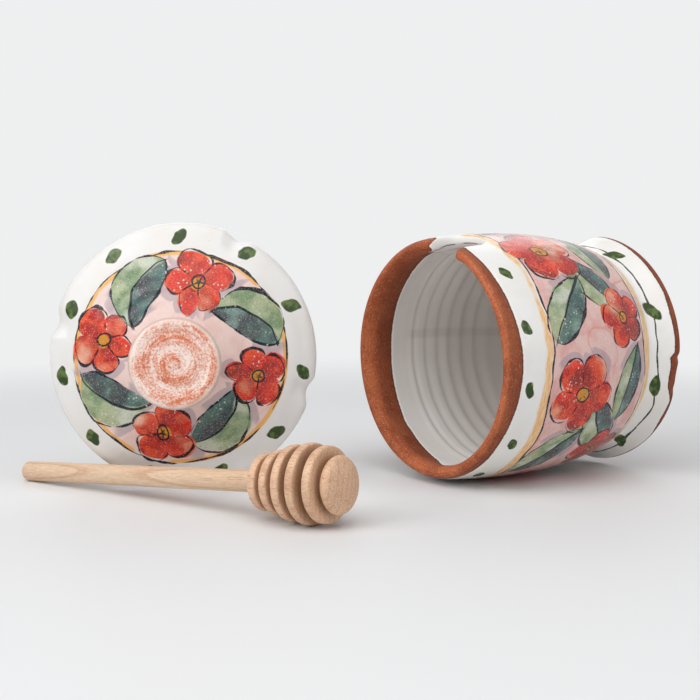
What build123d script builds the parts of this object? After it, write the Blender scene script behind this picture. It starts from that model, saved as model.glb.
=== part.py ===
from build123d import *
from math import asin, ceil, cos, degrees, exp, pi, radians, sin
import os

# A thrown honey pot lying on its side, its lid stood on edge beside it and its dipper in front.
# Millimetres. Each piece is made in a frame of its own, then laid on the floor, Z = 0.

# dipper: a bought dowel and a turned head
DOWEL_R = 4.0
DIPPER_LENGTH = 160.8
GLUE_GAP = 0.05
TAIL_ROUND = 1.4

# pot: the wall is drawn from the foot face (Z = 0) up to the lip
POT_HEIGHT = 95.5
POT_BELLY_R = 51.3
POT_WAIST_R = 44.5
POT_WAIST_Z = 13.0
POT_FOOT_R = 50.2
POT_MOUTH_R = 43.4
POT_WALL = 5.6
POT_WALL_SPARE = 1.5
POT_FLOOR = 6.0
LIP_THICK = 5.7
FOOT_RECESS = 4.5
FOOT_RING = 7.5
FOOT_DENTS = (0.0, 90.0, 180.0, 270.0)
FOOT_DENT_DEPTH = 3.0
FOOT_DENT_WIDTH = 8.0
THROW_PITCH = 7.6
THROW_DEPTH = 0.45

# notch in the lip: it must pass the dowel with room for drips of honey
NOTCH_WIDTH = 2 * DOWEL_R + 9.5
NOTCH_DEPTH = 20.0
NOTCH_ROUND = 1.4

# lid: seat plane at Z = 0, knob upward
LID_OVERHANG = 3.6
LID_EDGE_Z = 2.8
LID_BAND = 11.4
LID_BAND_Z = 9.8
LID_SPRING_Z = 3.0
LID_NECK_R = 11.0
LID_NECK_Z = 23.0
LID_HEIGHT = 38.0
KNOB_R = 17.4
KNOB_THICK = 7.5
LID_DENTS = (65.0, 165.0, 255.0, 344.0)
LID_DENT_DEPTH = 2.2
LID_DENT_WIDTH = 4.4
FLANGE_CLEARANCE = 1.0
FLANGE_DEPTH = 8.0
SEAT_SPARE = 1.0
FLANGE_THICK = 5.0

# points on each dented ring, close enough together to follow the narrowest dent
RING_POINTS = 60

# how the three pieces lie, as plan positions on the floor and turns in degrees
POT_AT = (109.6, -136.3)
POT_YAW = 34.5
POT_ROLL = 10.0
POT_TILT = -0.4
LID_AT = (-66.5, -193.4)
LID_YAW = 2.2
TAIL_AT = (-133.7, -181.9)
DIPPER_YAW = -33.8


def dented_ring(radius, z, depth, angles, width):
    """Closed curve at height z: a circle pressed in by depth at each angle, width mm to 1/e."""
    points = []
    for step in range(RING_POINTS):
        turn = 360.0 * step / RING_POINTS
        pressed = 0.0
        for angle in angles:
            away = (turn - angle + 180.0) % 360.0 - 180.0
            pressed += exp(-((radians(away) * radius / width) ** 2))
        r = radius - depth * pressed
        points.append((r * cos(radians(turn)), r * sin(radians(turn)), z))
    return Wire(Edge.make_spline([Vector(*p) for p in points], periodic=True))


def turned(curves):
    """Solid of revolution about Z from closed curves in the XZ plane, its seam at +Y."""
    return Rot(0, 0, 90) * revolve(Plane.XZ * make_face(Curve() + curves), Axis.Z)


def wall_radius(z):
    """Outer radius of the wall: out from the waist to the belly, then in to the root of the lip."""
    belly_z = POT_WAIST_Z + 0.54 * (POT_HEIGHT - POT_WAIST_Z)
    if z < belly_z:
        rise = max(z - POT_WAIST_Z, 0.0) / (belly_z - POT_WAIST_Z)
        return POT_WAIST_R + (POT_BELLY_R - POT_WAIST_R) * sin(pi / 2 * rise**0.78)
    drop = (z - belly_z) / (POT_HEIGHT - LIP_THICK / 2 - belly_z)
    return POT_BELLY_R - (POT_BELLY_R - POT_MOUTH_R - LIP_THICK) * drop**2.1


def make_pot():
    """The thrown pot, mouth up: belly wall, nipped waist, flared foot with four finger dents."""
    lip_r = LIP_THICK / 2
    lip_z = POT_HEIGHT - lip_r
    lip_mid = POT_MOUTH_R + lip_r
    rise = lip_z - POT_WAIST_Z
    heights = [POT_WAIST_Z + rise * share for share in (0, 0.1, 0.23, 0.38, 0.55, 0.72, 0.88, 1)]
    wall = Spline(*[(wall_radius(z), z) for z in heights])
    lip = ThreePointArc((lip_mid + lip_r, lip_z), (lip_mid, POT_HEIGHT), (POT_MOUTH_R, lip_z))
    inside = Polyline(
        (POT_MOUTH_R, lip_z), (0, lip_z), (0, POT_WAIST_Z - 2.0), (POT_WAIST_R - 1.6, POT_WAIST_Z - 2.0),
        (POT_WAIST_R, POT_WAIST_Z),
    )
    body = turned([wall, lip, inside])

    # the skirt flares from inside the waist; the dents deepen toward its edge
    flare = (
        (-0.14, -1.6), (0.06, 0.4), (0.24, 1.3), (0.5, 3.1), (0.76, 5.1),
        (0.92, POT_FOOT_R - POT_WAIST_R), (1.0, POT_FOOT_R - POT_WAIST_R - 0.9),
    )
    rings = []
    for down, out in flare:
        depth = FOOT_DENT_DEPTH * max(down, 0.0) ** 1.5
        z = POT_WAIST_Z * (1.0 - down)
        rings.append(dented_ring(POT_WAIST_R + out, z, depth, FOOT_DENTS, FOOT_DENT_WIDTH))
    skirt = loft([Face(ring) for ring in rings])

    # hollow: a straight band for the lid's flange, an easy flare past the notch, throwing rings with a
    # ridge between each two, then the floor
    floor_z = FOOT_RECESS + POT_FLOOR
    seat_z = lip_z - FLANGE_DEPTH - SEAT_SPARE
    band_z = POT_HEIGHT - NOTCH_DEPTH - 2.5
    ring_low = floor_z + 18.0
    count = ceil((band_z - ring_low) / THROW_PITCH)

    def inside(down):
        """Point of the inner wall, ridge to ridge, at a share of the way down the throwing rings."""
        z = band_z - (band_z - ring_low) * down
        return wall_radius(z) - POT_WALL - POT_WALL_SPARE * down**2 - THROW_DEPTH, z

    hollow = [
        Line((0, POT_HEIGHT), (POT_MOUTH_R, POT_HEIGHT)),
        Line((POT_MOUTH_R, POT_HEIGHT), (POT_MOUTH_R, seat_z)),
        Spline((POT_MOUTH_R, seat_z), inside(0), tangents=[(0, -1), (0, -1)]),
    ]
    for i in range(count):
        r, z = inside((i + 0.5) / count)
        hollow.append(ThreePointArc(inside(i / count), (r + 2 * THROW_DEPTH, z), inside((i + 1) / count)))
    low_r = inside(1)[0]
    hollow += [
        ThreePointArc(inside(1), (low_r - 4.6, floor_z + 5.6), (low_r - 16.0, floor_z)),
        Line((low_r - 16.0, floor_z), (0, floor_z)),
        Line((0, floor_z), (0, POT_HEIGHT)),
    ]
    inner = POT_FOOT_R - FOOT_DENT_DEPTH - FOOT_RING
    recess = Cone(inner, inner - 3.0, FOOT_RECESS, align=(Align.CENTER, Align.CENTER, Align.MIN))
    pot = body + skirt - turned(hollow) - recess

    # the notch: straight sides and a round bottom, cut through one wall only
    half = NOTCH_WIDTH / 2
    low = POT_HEIGHT - NOTCH_DEPTH + half
    slot = Polyline((-half, low), (-half, POT_HEIGHT + 8), (half, POT_HEIGHT + 8), (half, low))
    slot += ThreePointArc((half, low), (0, low - half), (-half, low))
    pot -= extrude(Plane.YZ * make_face(slot), POT_BELLY_R + 10)
    rim = []
    for face in pot.faces():
        box = face.bounding_box()
        if box.min.X > POT_MOUTH_R - LIP_THICK and max(-box.min.Y, box.max.Y) < half + 0.01:
            rim += [edge for edge in face.edges() if edge.geom_type != GeomType.LINE]
    return fillet(rim, NOTCH_ROUND)


def make_lid():
    """The lid, knob up: a pinched white edge, a shallow dome, a disc knob and a locating flange."""
    edge_r = POT_MOUTH_R + LIP_THICK + LID_OVERHANG + 0.25
    band_r = edge_r - LID_BAND
    section = (
        (edge_r - 1.6, 0.0, 0.85),
        (edge_r, LID_EDGE_Z, 1.0),
        (edge_r - 1.5, LID_EDGE_Z + 2.6, 0.85),
        (edge_r - 5.5, LID_BAND_Z - 2.8, 0.3),
        (band_r, LID_BAND_Z, 0.0),
        (band_r - 3.0, LID_BAND_Z + 0.4, 0.0),
    )
    rings = []
    for r, z, share in section:
        rings.append(dented_ring(r, z, LID_DENT_DEPTH * share, LID_DENTS, LID_DENT_WIDTH))
    brim = loft([Face(ring) for ring in rings])
    under = LID_HEIGHT - KNOB_THICK
    foot_r = band_r + 1.2
    foot_z = LID_BAND_Z - 1.6
    crown = turned([
        Spline(
            (foot_r, foot_z),
            (band_r - 0.6, LID_BAND_Z + 0.6),
            (band_r * 0.7, LID_BAND_Z + 5.4),
            (band_r * 0.42, LID_NECK_Z - 3.2),
            (LID_NECK_R, LID_NECK_Z),
            (LID_NECK_R + 1.0, under - 2.0),
            (KNOB_R - 1.2, under + 2.4),
            (KNOB_R, under + 5.0),
        ),
        ThreePointArc((KNOB_R, under + 5.0), (KNOB_R - 0.7, LID_HEIGHT - 0.7), (KNOB_R - 2.4, LID_HEIGHT)),
        Spline(
            (KNOB_R - 2.4, LID_HEIGHT), (11.5, LID_HEIGHT - 0.7), (8.0, LID_HEIGHT), (4.2, LID_HEIGHT - 0.9),
            (1.6, LID_HEIGHT - 0.2), (0, LID_HEIGHT - 0.1),
        ),
        Line((0, LID_HEIGHT - 0.1), (0, foot_z)),
        Line((0, foot_z), (foot_r, foot_z)),
    ])
    flange_r = POT_MOUTH_R - FLANGE_CLEARANCE
    flange = Cylinder(flange_r, FLANGE_DEPTH, align=(Align.CENTER, Align.CENTER, Align.MAX))
    flange = fillet(flange.edges().group_by(Axis.Z)[0], 1.6)
    # the hollow is a straight bore through the flange and a spherical dome over it
    reach = flange_r - FLANGE_THICK
    dome = LID_NECK_Z - 7.5
    rise = dome - LID_SPRING_Z
    ball = (reach**2 + rise**2) / (2 * rise)
    half_up = asin(reach / ball) / 2
    hollow = turned([
        Line((0, -FLANGE_DEPTH), (reach, -FLANGE_DEPTH)),
        Line((reach, -FLANGE_DEPTH), (reach, LID_SPRING_Z)),
        ThreePointArc(
            (reach, LID_SPRING_Z), (ball * sin(half_up), dome - ball * (1 - cos(half_up))), (0, dome)
        ),
        Line((0, dome), (0, -FLANGE_DEPTH)),
    ])
    return brim + crown + flange - hollow


# ring crests of the dipper head: distance from the tail and radius
HEAD_RINGS = ((126.1, 10.4), (132.1, 11.6), (138.8, 13.6), (145.4, 14.4), (151.9, 13.5))
RING_HALF = 1.95
HEAD_CORE_R = 7.0
BUTTON_AT = 157.3
BUTTON_R = 10.4
BORE_DEPTH = 15.0


def make_head():
    """The turned head along Z, tail side down: a core, five rings, a domed button, a blind bore."""
    start = HEAD_RINGS[0][0] - 2.9
    head = Pos(0, 0, start) * Cylinder(
        HEAD_CORE_R, BUTTON_AT - start, align=(Align.CENTER, Align.CENTER, Align.MIN)
    )
    for crest, radius in HEAD_RINGS:
        side = radius - RING_HALF
        head += turned([
            Line((0, crest - RING_HALF), (side, crest - RING_HALF)),
            ThreePointArc((side, crest - RING_HALF), (radius, crest), (side, crest + RING_HALF)),
            Line((side, crest + RING_HALF), (0, crest + RING_HALF)),
            Line((0, crest + RING_HALF), (0, crest - RING_HALF)),
        ])
    first = HEAD_RINGS[0][1]
    head += turned([
        Line((0, start), (DOWEL_R + 1.2, start)),
        ThreePointArc((DOWEL_R + 1.2, start), (first - 2.2, start + 0.9), (first - 0.5, start + 2.2)),
        Line((first - 0.5, start + 2.2), (0, start + 2.2)),
        Line((0, start + 2.2), (0, start)),
    ])
    head += turned([
        Line((0, BUTTON_AT - 3.0), (HEAD_CORE_R, BUTTON_AT - 3.0)),
        ThreePointArc(
            (HEAD_CORE_R, BUTTON_AT - 3.0), (BUTTON_R - 0.5, BUTTON_AT - 1.6), (BUTTON_R, BUTTON_AT)
        ),
        ThreePointArc(
            (BUTTON_R, BUTTON_AT), (BUTTON_R - 0.7, BUTTON_AT + 1.2), (BUTTON_R - 2.4, BUTTON_AT + 2.1)
        ),
        Line((BUTTON_R - 2.4, BUTTON_AT + 2.1), (1.4, DIPPER_LENGTH)),
        Line((1.4, DIPPER_LENGTH), (0, DIPPER_LENGTH)),
        Line((0, DIPPER_LENGTH), (0, BUTTON_AT - 3.0)),
    ])
    bore = Pos(0, 0, start) * Cylinder(
        DOWEL_R + GLUE_GAP, BORE_DEPTH, align=(Align.CENTER, Align.CENTER, Align.MIN)
    )
    return head - bore


def make_dowel():
    """The dowel handle along Z, its tail rounded over, its other end short of the bore's bottom."""
    reach = HEAD_RINGS[0][0] - 2.9 + BORE_DEPTH - 0.3
    dowel = Cylinder(DOWEL_R, reach, align=(Align.CENTER, Align.CENTER, Align.MIN))
    return fillet(dowel.edges().group_by(Axis.Z)[0], TAIL_ROUND)


def settle(turn, solids, spot):
    """Turns the solids of one piece together, over its plan position, and lowers it to the floor."""
    turned_solids = [turn * solid for solid in solids]
    low = min(solid.bounding_box().min.Z for solid in turned_solids)
    return [Pos(spot[0], spot[1], -low) * solid for solid in turned_solids]


# the pot lies on its belly, its axis almost level
pot_turn = Rot(0, 0, POT_YAW) * Rot(0, POT_TILT, 0) * Rot(POT_ROLL, 0, 0) * Rot(0, -90, 0)
lid_turn = Rot(0, 0, LID_YAW) * Rot(90, 0, 0)
# the dipper rests on its tail and on its widest ring
rest_at, rest_r = max(HEAD_RINGS, key=lambda ring: ring[1])
DIPPER_TILT = degrees(asin((rest_r - DOWEL_R) / (rest_at - TAIL_ROUND)))
dipper_turn = Rot(0, 0, DIPPER_YAW) * Rot(0, 90 - DIPPER_TILT, 0)

nodes = {}
nodes["pot"], = settle(pot_turn, [make_pot()], POT_AT)
nodes["lid"], = settle(lid_turn, [make_lid()], LID_AT)
dipper = settle(dipper_turn, [make_dowel(), make_head()], TAIL_AT)
nodes["dipper_handle"], nodes["dipper_head"] = dipper

# the row is centred over the origin of the frame
boxes = [solid.bounding_box() for solid in nodes.values()]
mid_x = (min(box.min.X for box in boxes) + max(box.max.X for box in boxes)) / 2
mid_y = (min(box.min.Y for box in boxes) + max(box.max.Y for box in boxes)) / 2
centre = Pos(-mid_x, -mid_y, 0)

os.makedirs("parts", exist_ok=True)
for name, solid in nodes.items():
    placed = (centre * solid).solid()
    placed.label = name
    export_step(placed, os.path.join("parts", name + ".step"))
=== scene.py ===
import bpy
import numpy as np
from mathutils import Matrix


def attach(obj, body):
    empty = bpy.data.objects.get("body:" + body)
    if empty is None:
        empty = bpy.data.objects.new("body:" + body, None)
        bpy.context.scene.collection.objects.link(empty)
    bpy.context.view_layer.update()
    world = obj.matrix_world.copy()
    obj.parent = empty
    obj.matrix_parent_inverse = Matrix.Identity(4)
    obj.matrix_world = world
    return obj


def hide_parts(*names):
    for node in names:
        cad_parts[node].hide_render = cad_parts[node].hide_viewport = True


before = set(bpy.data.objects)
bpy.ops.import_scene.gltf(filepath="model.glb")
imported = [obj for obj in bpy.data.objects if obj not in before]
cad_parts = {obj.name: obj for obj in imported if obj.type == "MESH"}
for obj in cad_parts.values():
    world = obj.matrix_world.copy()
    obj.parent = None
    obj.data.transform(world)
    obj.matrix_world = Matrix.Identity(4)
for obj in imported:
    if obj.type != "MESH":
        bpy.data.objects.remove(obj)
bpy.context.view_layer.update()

# ----------------------------------------------------------------------------------------------
# The pot: red earthenware thrown on the wheel, dipped in white glaze and painted by hand. The lip
# and the edge of the foot are left bare. Four finger dents press in the flared foot, and a notch cut
# through the lip before drying lets the dipper's handle out under the lid.

# sizes in mm and turns in degrees, the pot standing on z = 0. The belly is widest BELLY_UP of the way
# from the waist to the rim
POT_HEIGHT = 95.5
POT_BELLY = 51.3
POT_WAIST = 44.5
WAIST_Z = 13.0
BELLY_UP = 0.54
MOUTH = 43.4
STRAIGHT_TO = 89.5
LIP_THICK = 5.7
LIP_ROLL = 1.9
WALL = 5.6
WALL_GROWS = 1.5
THICKENS_FROM = 73.0
FLOOR_Z = 28.5
FLOOR_LINE = ((41.2, FLOOR_Z), (40.3, 22.5), (37.2, 16.4), (32.0, 12.3), (25.0, 10.7), (12, 10.5), (2, 10.5))
THROW_PITCH = 7.0
THROWN_TO = 71.5

# the foot: its underside as (radius, height), its skirt as (height, radius), its four dents as
# (turn, depth) and the nicks in its edge as (turn, spread, bite)
FOOT_UNDER = ((2, 4.5), (20, 4.5), (35.6, 4.45), (37.0, 3.6), (39.2, 0.5), (39.9, 0.02), (46.5, 0.0))
FOOT_SKIRT = ((0, 49.3), (1.04, 50.2), (3.12, 49.6), (6.5, 47.6), (9.88, 45.8), (12.22, 44.9), (13.6, 44.5))
FOOT_DENTS = ((18, 3.0), (90, 3.0), (180, 3.0), (270, 1.5))
DENT_SPREAD = np.degrees(8 / 50)
FOOT_NICKS = ((-81, 1.5, 0.9), (-97, 2.2, 0.5), (52, 1.6, 0.7), (131, 2.0, 0.6))

# the glaze: how much of the lip stays bare, how thick the coat is, and its edge as (turn, height)
# inside the mouth, where it ran, and along the foot, where it was wiped
BARE_LIP = 3.95
GLAZE_THICK = 0.25
INNER_LINE = (
    (-40, 86.0), (0, 88.0), (21, 86.0), (38, 82.6), (54, 81.3), (80, 80.8), (100, 80.3), (117, 80.5),
    (136, 81.0), (143, 81.8), (150, 81.2), (159, 81.5), (170, 82.3), (182, 84.5), (196, 90.2), (215, 89.0),
    (250, 83.0), (320, 86.0),
)
FOOT_LINE = (
    (-180, 3.2), (-150, 2.4), (-125, 1.8), (-113, 2.7), (-103, 2.0), (-100, 2.8), (-96, 4.1), (-90, 4.3),
    (-86, 4.1), (-81, 4.8), (-78.5, 3.3), (-72, 3.2), (-60, 3.5), (-49, 2.9), (-37, 3.2), (0, 2.7),
    (38, 3.6), (60, 2.7), (118, 4.1), (150, 2.8),
)

# the notch, at turn 0. It is cut in the wall unrolled at one radius, above the base line
NOTCH_HALF = 8.75
NOTCH_LOW = POT_HEIGHT - 20.0 + NOTCH_HALF
NOTCH_CORNER = 3.2
NOTCH_BEVEL = 2.0
UNROLL_R = MOUTH + LIP_THICK / 2
BASE_Z = 62.0

# how the pot lies: four turns, and where the middle of its foot comes to
POT_TURN = (34.5, -0.4, 10.0, -90.0)
POT_FOOT_AT = (108.627, 50.511, 51.718)

POT_COLUMNS = 360
WALL_ROWS = 66
LEAN_ROWS = 26
LIP_ROWS = 25
INSIDE_ROWS = 46


def spin(axis, degrees):
    """Turn by an angle a about an axis: cos a and sin a in the plane across the axis."""
    a = np.radians(degrees)
    turn = np.eye(3)
    i, j = [(1, 2), (2, 0), (0, 1)]["XYZ".index(axis)]
    turn[i, i] = turn[j, j] = np.cos(a)
    turn[i, j] = -np.sin(a)
    turn[j, i] = np.sin(a)
    return turn


def smooth_curve(points, per_span=24):
    """Catmull-Rom curve: on each span, the four nearest points weighted by cubics of the way along."""
    p = np.array(points, float)
    p = np.vstack([2 * p[0] - p[1], p, 2 * p[-1] - p[-2]])
    t = np.linspace(0, 1, per_span, endpoint=False)[:, None]
    weights = np.hstack([-t + 2 * t**2 - t**3, 2 - 5 * t**2 + 3 * t**3, t + 4 * t**2 - 3 * t**3, t**3 - t**2])
    spans = [0.5 * weights @ p[i : i + 4] for i in range(len(p) - 3)]
    return np.vstack(spans + [p[-2:-1]])


def evenly(curve, step):
    """The same curve cut into equal lengths of about step: its points read at equal path lengths."""
    along = np.concatenate([[0], np.cumsum(np.hypot(*np.diff(curve, axis=0).T))])
    at = np.linspace(0, along[-1], max(2, int(round(along[-1] / step)) + 1))
    return np.column_stack([np.interp(at, along, curve[:, 0]), np.interp(at, along, curve[:, 1])])


def wobble(theta, seed, size):
    """A wavy line round the piece: sines of 2 to 19 waves a turn, each at a phase of its own."""
    rng = np.random.default_rng(seed)
    waves = np.array([2, 3, 5, 8, 12, 19])
    phase = rng.uniform(0, 2 * np.pi, len(waves))
    return size * (np.sin(np.multiply.outer(theta, waves) + phase) / waves**0.6).sum(axis=-1)


def ramp(value, low, high):
    """Smooth step: 3 t^2 - 2 t^3 of the share t of the way from low to high."""
    t = np.clip((value - low) / (high - low), 0, 1)
    return t * t * (3 - 2 * t)


def near(theta, angle, spread, power=2):
    """A smooth rise round the piece: exp(-(away / spread)^power), away the turn from the angle in degrees."""
    away = np.abs((theta - np.radians(angle) + np.pi) % (2 * np.pi) - np.pi)
    return np.exp(-((away / np.radians(spread)) ** power))


def new_object(name, data):
    """An object of this data in the scene."""
    thing = bpy.data.objects.new(name, data)
    bpy.context.scene.collection.objects.link(thing)
    return thing


def grid_quads(count, columns):
    """Corners of the faces between count rows of points that each close on themselves: a point, the
    next one round, and the same two a row further."""
    i, j = np.meshgrid(np.arange(count - 1), np.arange(columns), indexing="ij")
    k = (j + 1) % columns
    quads = [i * columns + j, i * columns + k, (i + 1) * columns + k, (i + 1) * columns + j]
    return np.stack(quads, axis=-1).reshape(-1, 4)


def shell(name, rows, place, turn, marks, material, body, nodes):
    """Closed surface from a grid of own-frame points, row by row round the piece, with a pole at each
    end. Each point is turned and moved to its place, and its own-frame point is kept as "own"."""
    count, columns, _ = rows.shape
    ends = np.array([rows[0].mean(axis=0), rows[-1].mean(axis=0)])
    own = np.vstack([rows.reshape(-1, 3), ends])
    quads = grid_quads(count, columns)
    ring = np.arange(columns)
    after = (ring + 1) % columns
    last = (count - 1) * columns
    first_fan = np.column_stack([np.full(columns, count * columns), after, ring])
    last_fan = np.column_stack([np.full(columns, count * columns + 1), last + ring, last + after])
    fans = np.vstack([first_fan, last_fan])
    corners = np.concatenate([quads.ravel(), fans.ravel()])
    sizes = np.concatenate([np.full(len(quads), 4), np.full(len(fans), 3)])
    mesh = bpy.data.meshes.new(name)
    mesh.vertices.add(len(own))
    mesh.vertices.foreach_set("co", ((own @ turn.T + place) * 0.001).ravel())
    mesh.loops.add(len(corners))
    mesh.loops.foreach_set("vertex_index", corners)
    mesh.polygons.add(len(sizes))
    mesh.polygons.foreach_set("loop_start", np.concatenate([[0], np.cumsum(sizes)[:-1]]))
    mesh.update(calc_edges=True)
    mesh.shade_smooth()
    mesh.attributes.new("own", "FLOAT_VECTOR", "POINT").data.foreach_set("vector", own.ravel())
    for mark, values in marks.items():
        flat = np.concatenate([values.ravel(), [values[0].mean(), values[-1].mean()]])
        mesh.attributes.new(mark, "FLOAT", "POINT").data.foreach_set("value", flat)
    mesh.materials.append(material)
    piece = new_object(name, mesh)
    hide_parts(*nodes)
    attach(piece, body)


def wall_radius(z):
    """Outside of the wall: waist + (belly - waist) sin(pi/2 rise^0.78) up to the belly, then
    belly - (belly - lip) drop^2.1 up to the root of the lip."""
    belly_z = WAIST_Z + BELLY_UP * (POT_HEIGHT - WAIST_Z)
    lip_z = POT_HEIGHT - LIP_THICK / 2
    rise = np.clip((z - WAIST_Z) / (belly_z - WAIST_Z), 0, 1)
    drop = np.clip((z - belly_z) / (lip_z - belly_z), 0, 1)
    return POT_WAIST + (POT_BELLY - POT_WAIST) * np.sin(np.pi / 2 * rise**0.78) - (
        POT_BELLY - MOUTH - LIP_THICK
    ) * drop**2.1


def outside_radius(z, theta):
    """Wall above the waist and flared skirt below it, the nip between them eased over 1 mm, less four
    finger dents: depth down^1.5 exp(-(arc / 8)^2) each, deepest at the foot's edge."""
    skirt = smooth_curve(FOOT_SKIRT)
    heights = np.arange(0, POT_HEIGHT + 0.1, 0.1)
    radii = np.where(heights > WAIST_Z, wall_radius(heights), np.interp(heights, skirt[:, 0], skirt[:, 1]))
    window = np.hanning(15)[1:-1]
    eased = np.convolve(np.pad(radii, 6, mode="edge"), window / window.sum(), mode="valid")
    radii = np.where(heights > 2.5, eased, radii)
    down = np.clip(1 - z / WAIST_Z, 0, 1)
    dents = 0.0
    for angle, depth in FOOT_DENTS:
        dents = dents + depth * near(theta, angle, DENT_SPREAD)
    return np.interp(z, heights, radii) - down**1.5 * dents


def lowness(z):
    """Share of the way down the wall, from 66 mm to 30 mm, over which the throwing grooves broaden."""
    return np.clip((66 - z) / 36, 0, 1)


def throwing(z, theta):
    """How deep in the spiral groove: exp(-(off / width)^2), off the distance from its turn in mm."""
    turns = (z - 66.8 + wobble(theta, 11, 0.3)) / THROW_PITCH + (theta - 1.75) / (2 * np.pi)
    off = (turns - np.round(turns)) * THROW_PITCH
    return np.exp(-((off / (1.15 + 1.9 * lowness(z))) ** 2))


def inside_radius(z, theta):
    """Inside of the wall: straight at the mouth, then the outside less a thickness that grows toward
    the floor, with one spiral throwing groove, narrow near the mouth and broad lower down: +0.3 in the
    groove and -0.4 on the ridge, or -0.7 low down."""
    down = np.clip((THICKENS_FROM - z) / (THICKENS_FROM - FLOOR_Z), 0, 1)
    plain = wall_radius(z) - WALL - WALL_GROWS * down**2
    plain = MOUTH + (plain - MOUTH) * ramp(STRAIGHT_TO - z, 0, 15)
    return plain + (0.3 - (0.7 + 0.3 * lowness(z)) * (1 - throwing(z, theta))) * ramp(THROWN_TO - z, 0, 3)


def lip_edge(s):
    """Edge of the wall unrolled, s mm from the bottom of the notch: a half circle, a straight side, a
    convex corner and the level rim. Gives x, z, the direction into the clay and a share that is 1 in
    the notch and 0 on the rim."""
    q = np.abs(s)
    w, c = NOTCH_HALF, NOTCH_CORNER
    ends = np.cumsum([w * np.pi / 2, POT_HEIGHT - c - NOTCH_LOW, c * np.pi / 2])
    a = q / w
    b = (q - ends[1]) / c
    parts = [q < ends[0], q < ends[1], q < ends[2]]
    x = np.select(parts, [w * np.sin(a), w + 0 * q, w + c - c * np.cos(b)], w + c + q - ends[2])
    levels = [NOTCH_LOW - w * np.cos(a), NOTCH_LOW + q - ends[0], POT_HEIGHT - c + c * np.sin(b)]
    z = np.select(parts, levels, POT_HEIGHT)
    nx = np.select(parts, [np.sin(a), 1 + 0 * q, np.cos(b)], 0.0)
    nz = np.select(parts, [-np.cos(a), 0 * q, -np.sin(b)], -1.0)
    return x * np.sign(s), z, nx * np.sign(s), nz, 1 - ramp(q, ends[1], ends[2] + 4)


# the lip's edge, notch and all, cut into equal steps, and the even columns of the base line
half_round = np.pi * UNROLL_R
half_edge = half_round + (NOTCH_HALF + NOTCH_CORNER) * (np.pi / 2 - 1) + POT_HEIGHT - NOTCH_CORNER - NOTCH_LOW
s = (np.arange(POT_COLUMNS) + 0.5) / POT_COLUMNS * 2 * half_edge - half_edge
edge_x, edge_z, into_x, into_z, by_notch = lip_edge(s)
base_x = s * half_round / half_edge

# foot: the underside and the bare ring, then up the skirt and the wall to the base line
foot = np.vstack([evenly(smooth_curve(FOOT_UNDER), 1.6), [(48.2, 0.0), (48.9, 0.12)]])
rise = np.concatenate([[0.35, 0.75, 1.3, 2.0], np.linspace(2.8, BASE_Z, WALL_ROWS)])
theta_base = base_x / UNROLL_R
dent_in = outside_radius(np.zeros(1), np.pi / 3.2 + 0 * theta_base) - outside_radius(np.zeros(1), theta_base)
foot_r = foot[:, :1] - dent_in * ramp(foot[:, :1], 39.9, 48.9)
wall_z = rise[:, None] + 0 * theta_base

# between the base line and the lip the columns lean over to follow the notch
lean = np.linspace(1, 0, LEAN_ROWS)[1:-1, None] ** 1.15
out_x = (edge_x + LIP_THICK / 2 * into_x) * (1 - lean) + base_x * lean
out_z = (edge_z + LIP_THICK / 2 * into_z) * (1 - lean) + BASE_Z * lean

# the lip: a half round on the rim, squarer in the notch where it was cut and sponged
phi = np.radians(np.linspace(90, -90, LIP_ROWS))[:, None]
bevel = by_notch * ramp(edge_z, POT_HEIGHT - 2, NOTCH_LOW) * (phi < 0)
power = 2 / (2 + 1.4 * by_notch * (1 - bevel))
across = np.sign(np.sin(phi)) * np.abs(np.sin(phi)) ** power
roll = np.where(phi < 0, LIP_THICK / 2 + LIP_ROLL * (1 - by_notch) + NOTCH_BEVEL * bevel, LIP_THICK / 2)
deep = roll * (1 - np.abs(np.cos(phi)) ** power)
lip_x = edge_x + deep * into_x
lip_z = edge_z + deep * into_z

# the inside: from the lip back to even columns at the base line, then down to the floor
lean_in = np.linspace(0, 1, INSIDE_ROWS)[1:-1, None] ** 0.95
in_x = lip_x[-1] * (1 - lean_in) + base_x * lean_in
in_z = lip_z[-1] * (1 - lean_in) + BASE_Z * lean_in
down_z = np.linspace(BASE_Z, FLOOR_Z, INSIDE_ROWS)[:, None] + 0 * theta_base
floor = evenly(smooth_curve(FLOOR_LINE), 1.7)

# all rows together: turn, height, and side, 1 outside and -1 inside
theta = np.vstack([
    np.repeat(theta_base[None], len(foot) + len(rise), axis=0), out_x / UNROLL_R, lip_x / UNROLL_R,
    in_x / UNROLL_R, np.repeat(theta_base[None], len(down_z) + len(floor) - 1, axis=0),
])
height = np.vstack([
    foot[:, 1:] + 0 * theta_base, wall_z, out_z, lip_z, in_z, down_z, floor[1:, 1:] + 0 * theta_base,
])
side = np.vstack([
    np.ones((len(foot) + len(rise) + len(out_z), POT_COLUMNS)), across + 0 * lip_z,
    -np.ones((len(in_z) + len(down_z) + len(floor) - 1, POT_COLUMNS)),
])
level = np.minimum(height, POT_HEIGHT - LIP_THICK / 2)
outer, inner = outside_radius(level, theta), inside_radius(level, theta)
radius = (outer + inner) / 2 + (outer - inner) / 2 * side
radius[: len(foot)] = foot_r
radius[-len(floor) + 1 :] = floor[1:, :1]

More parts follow.
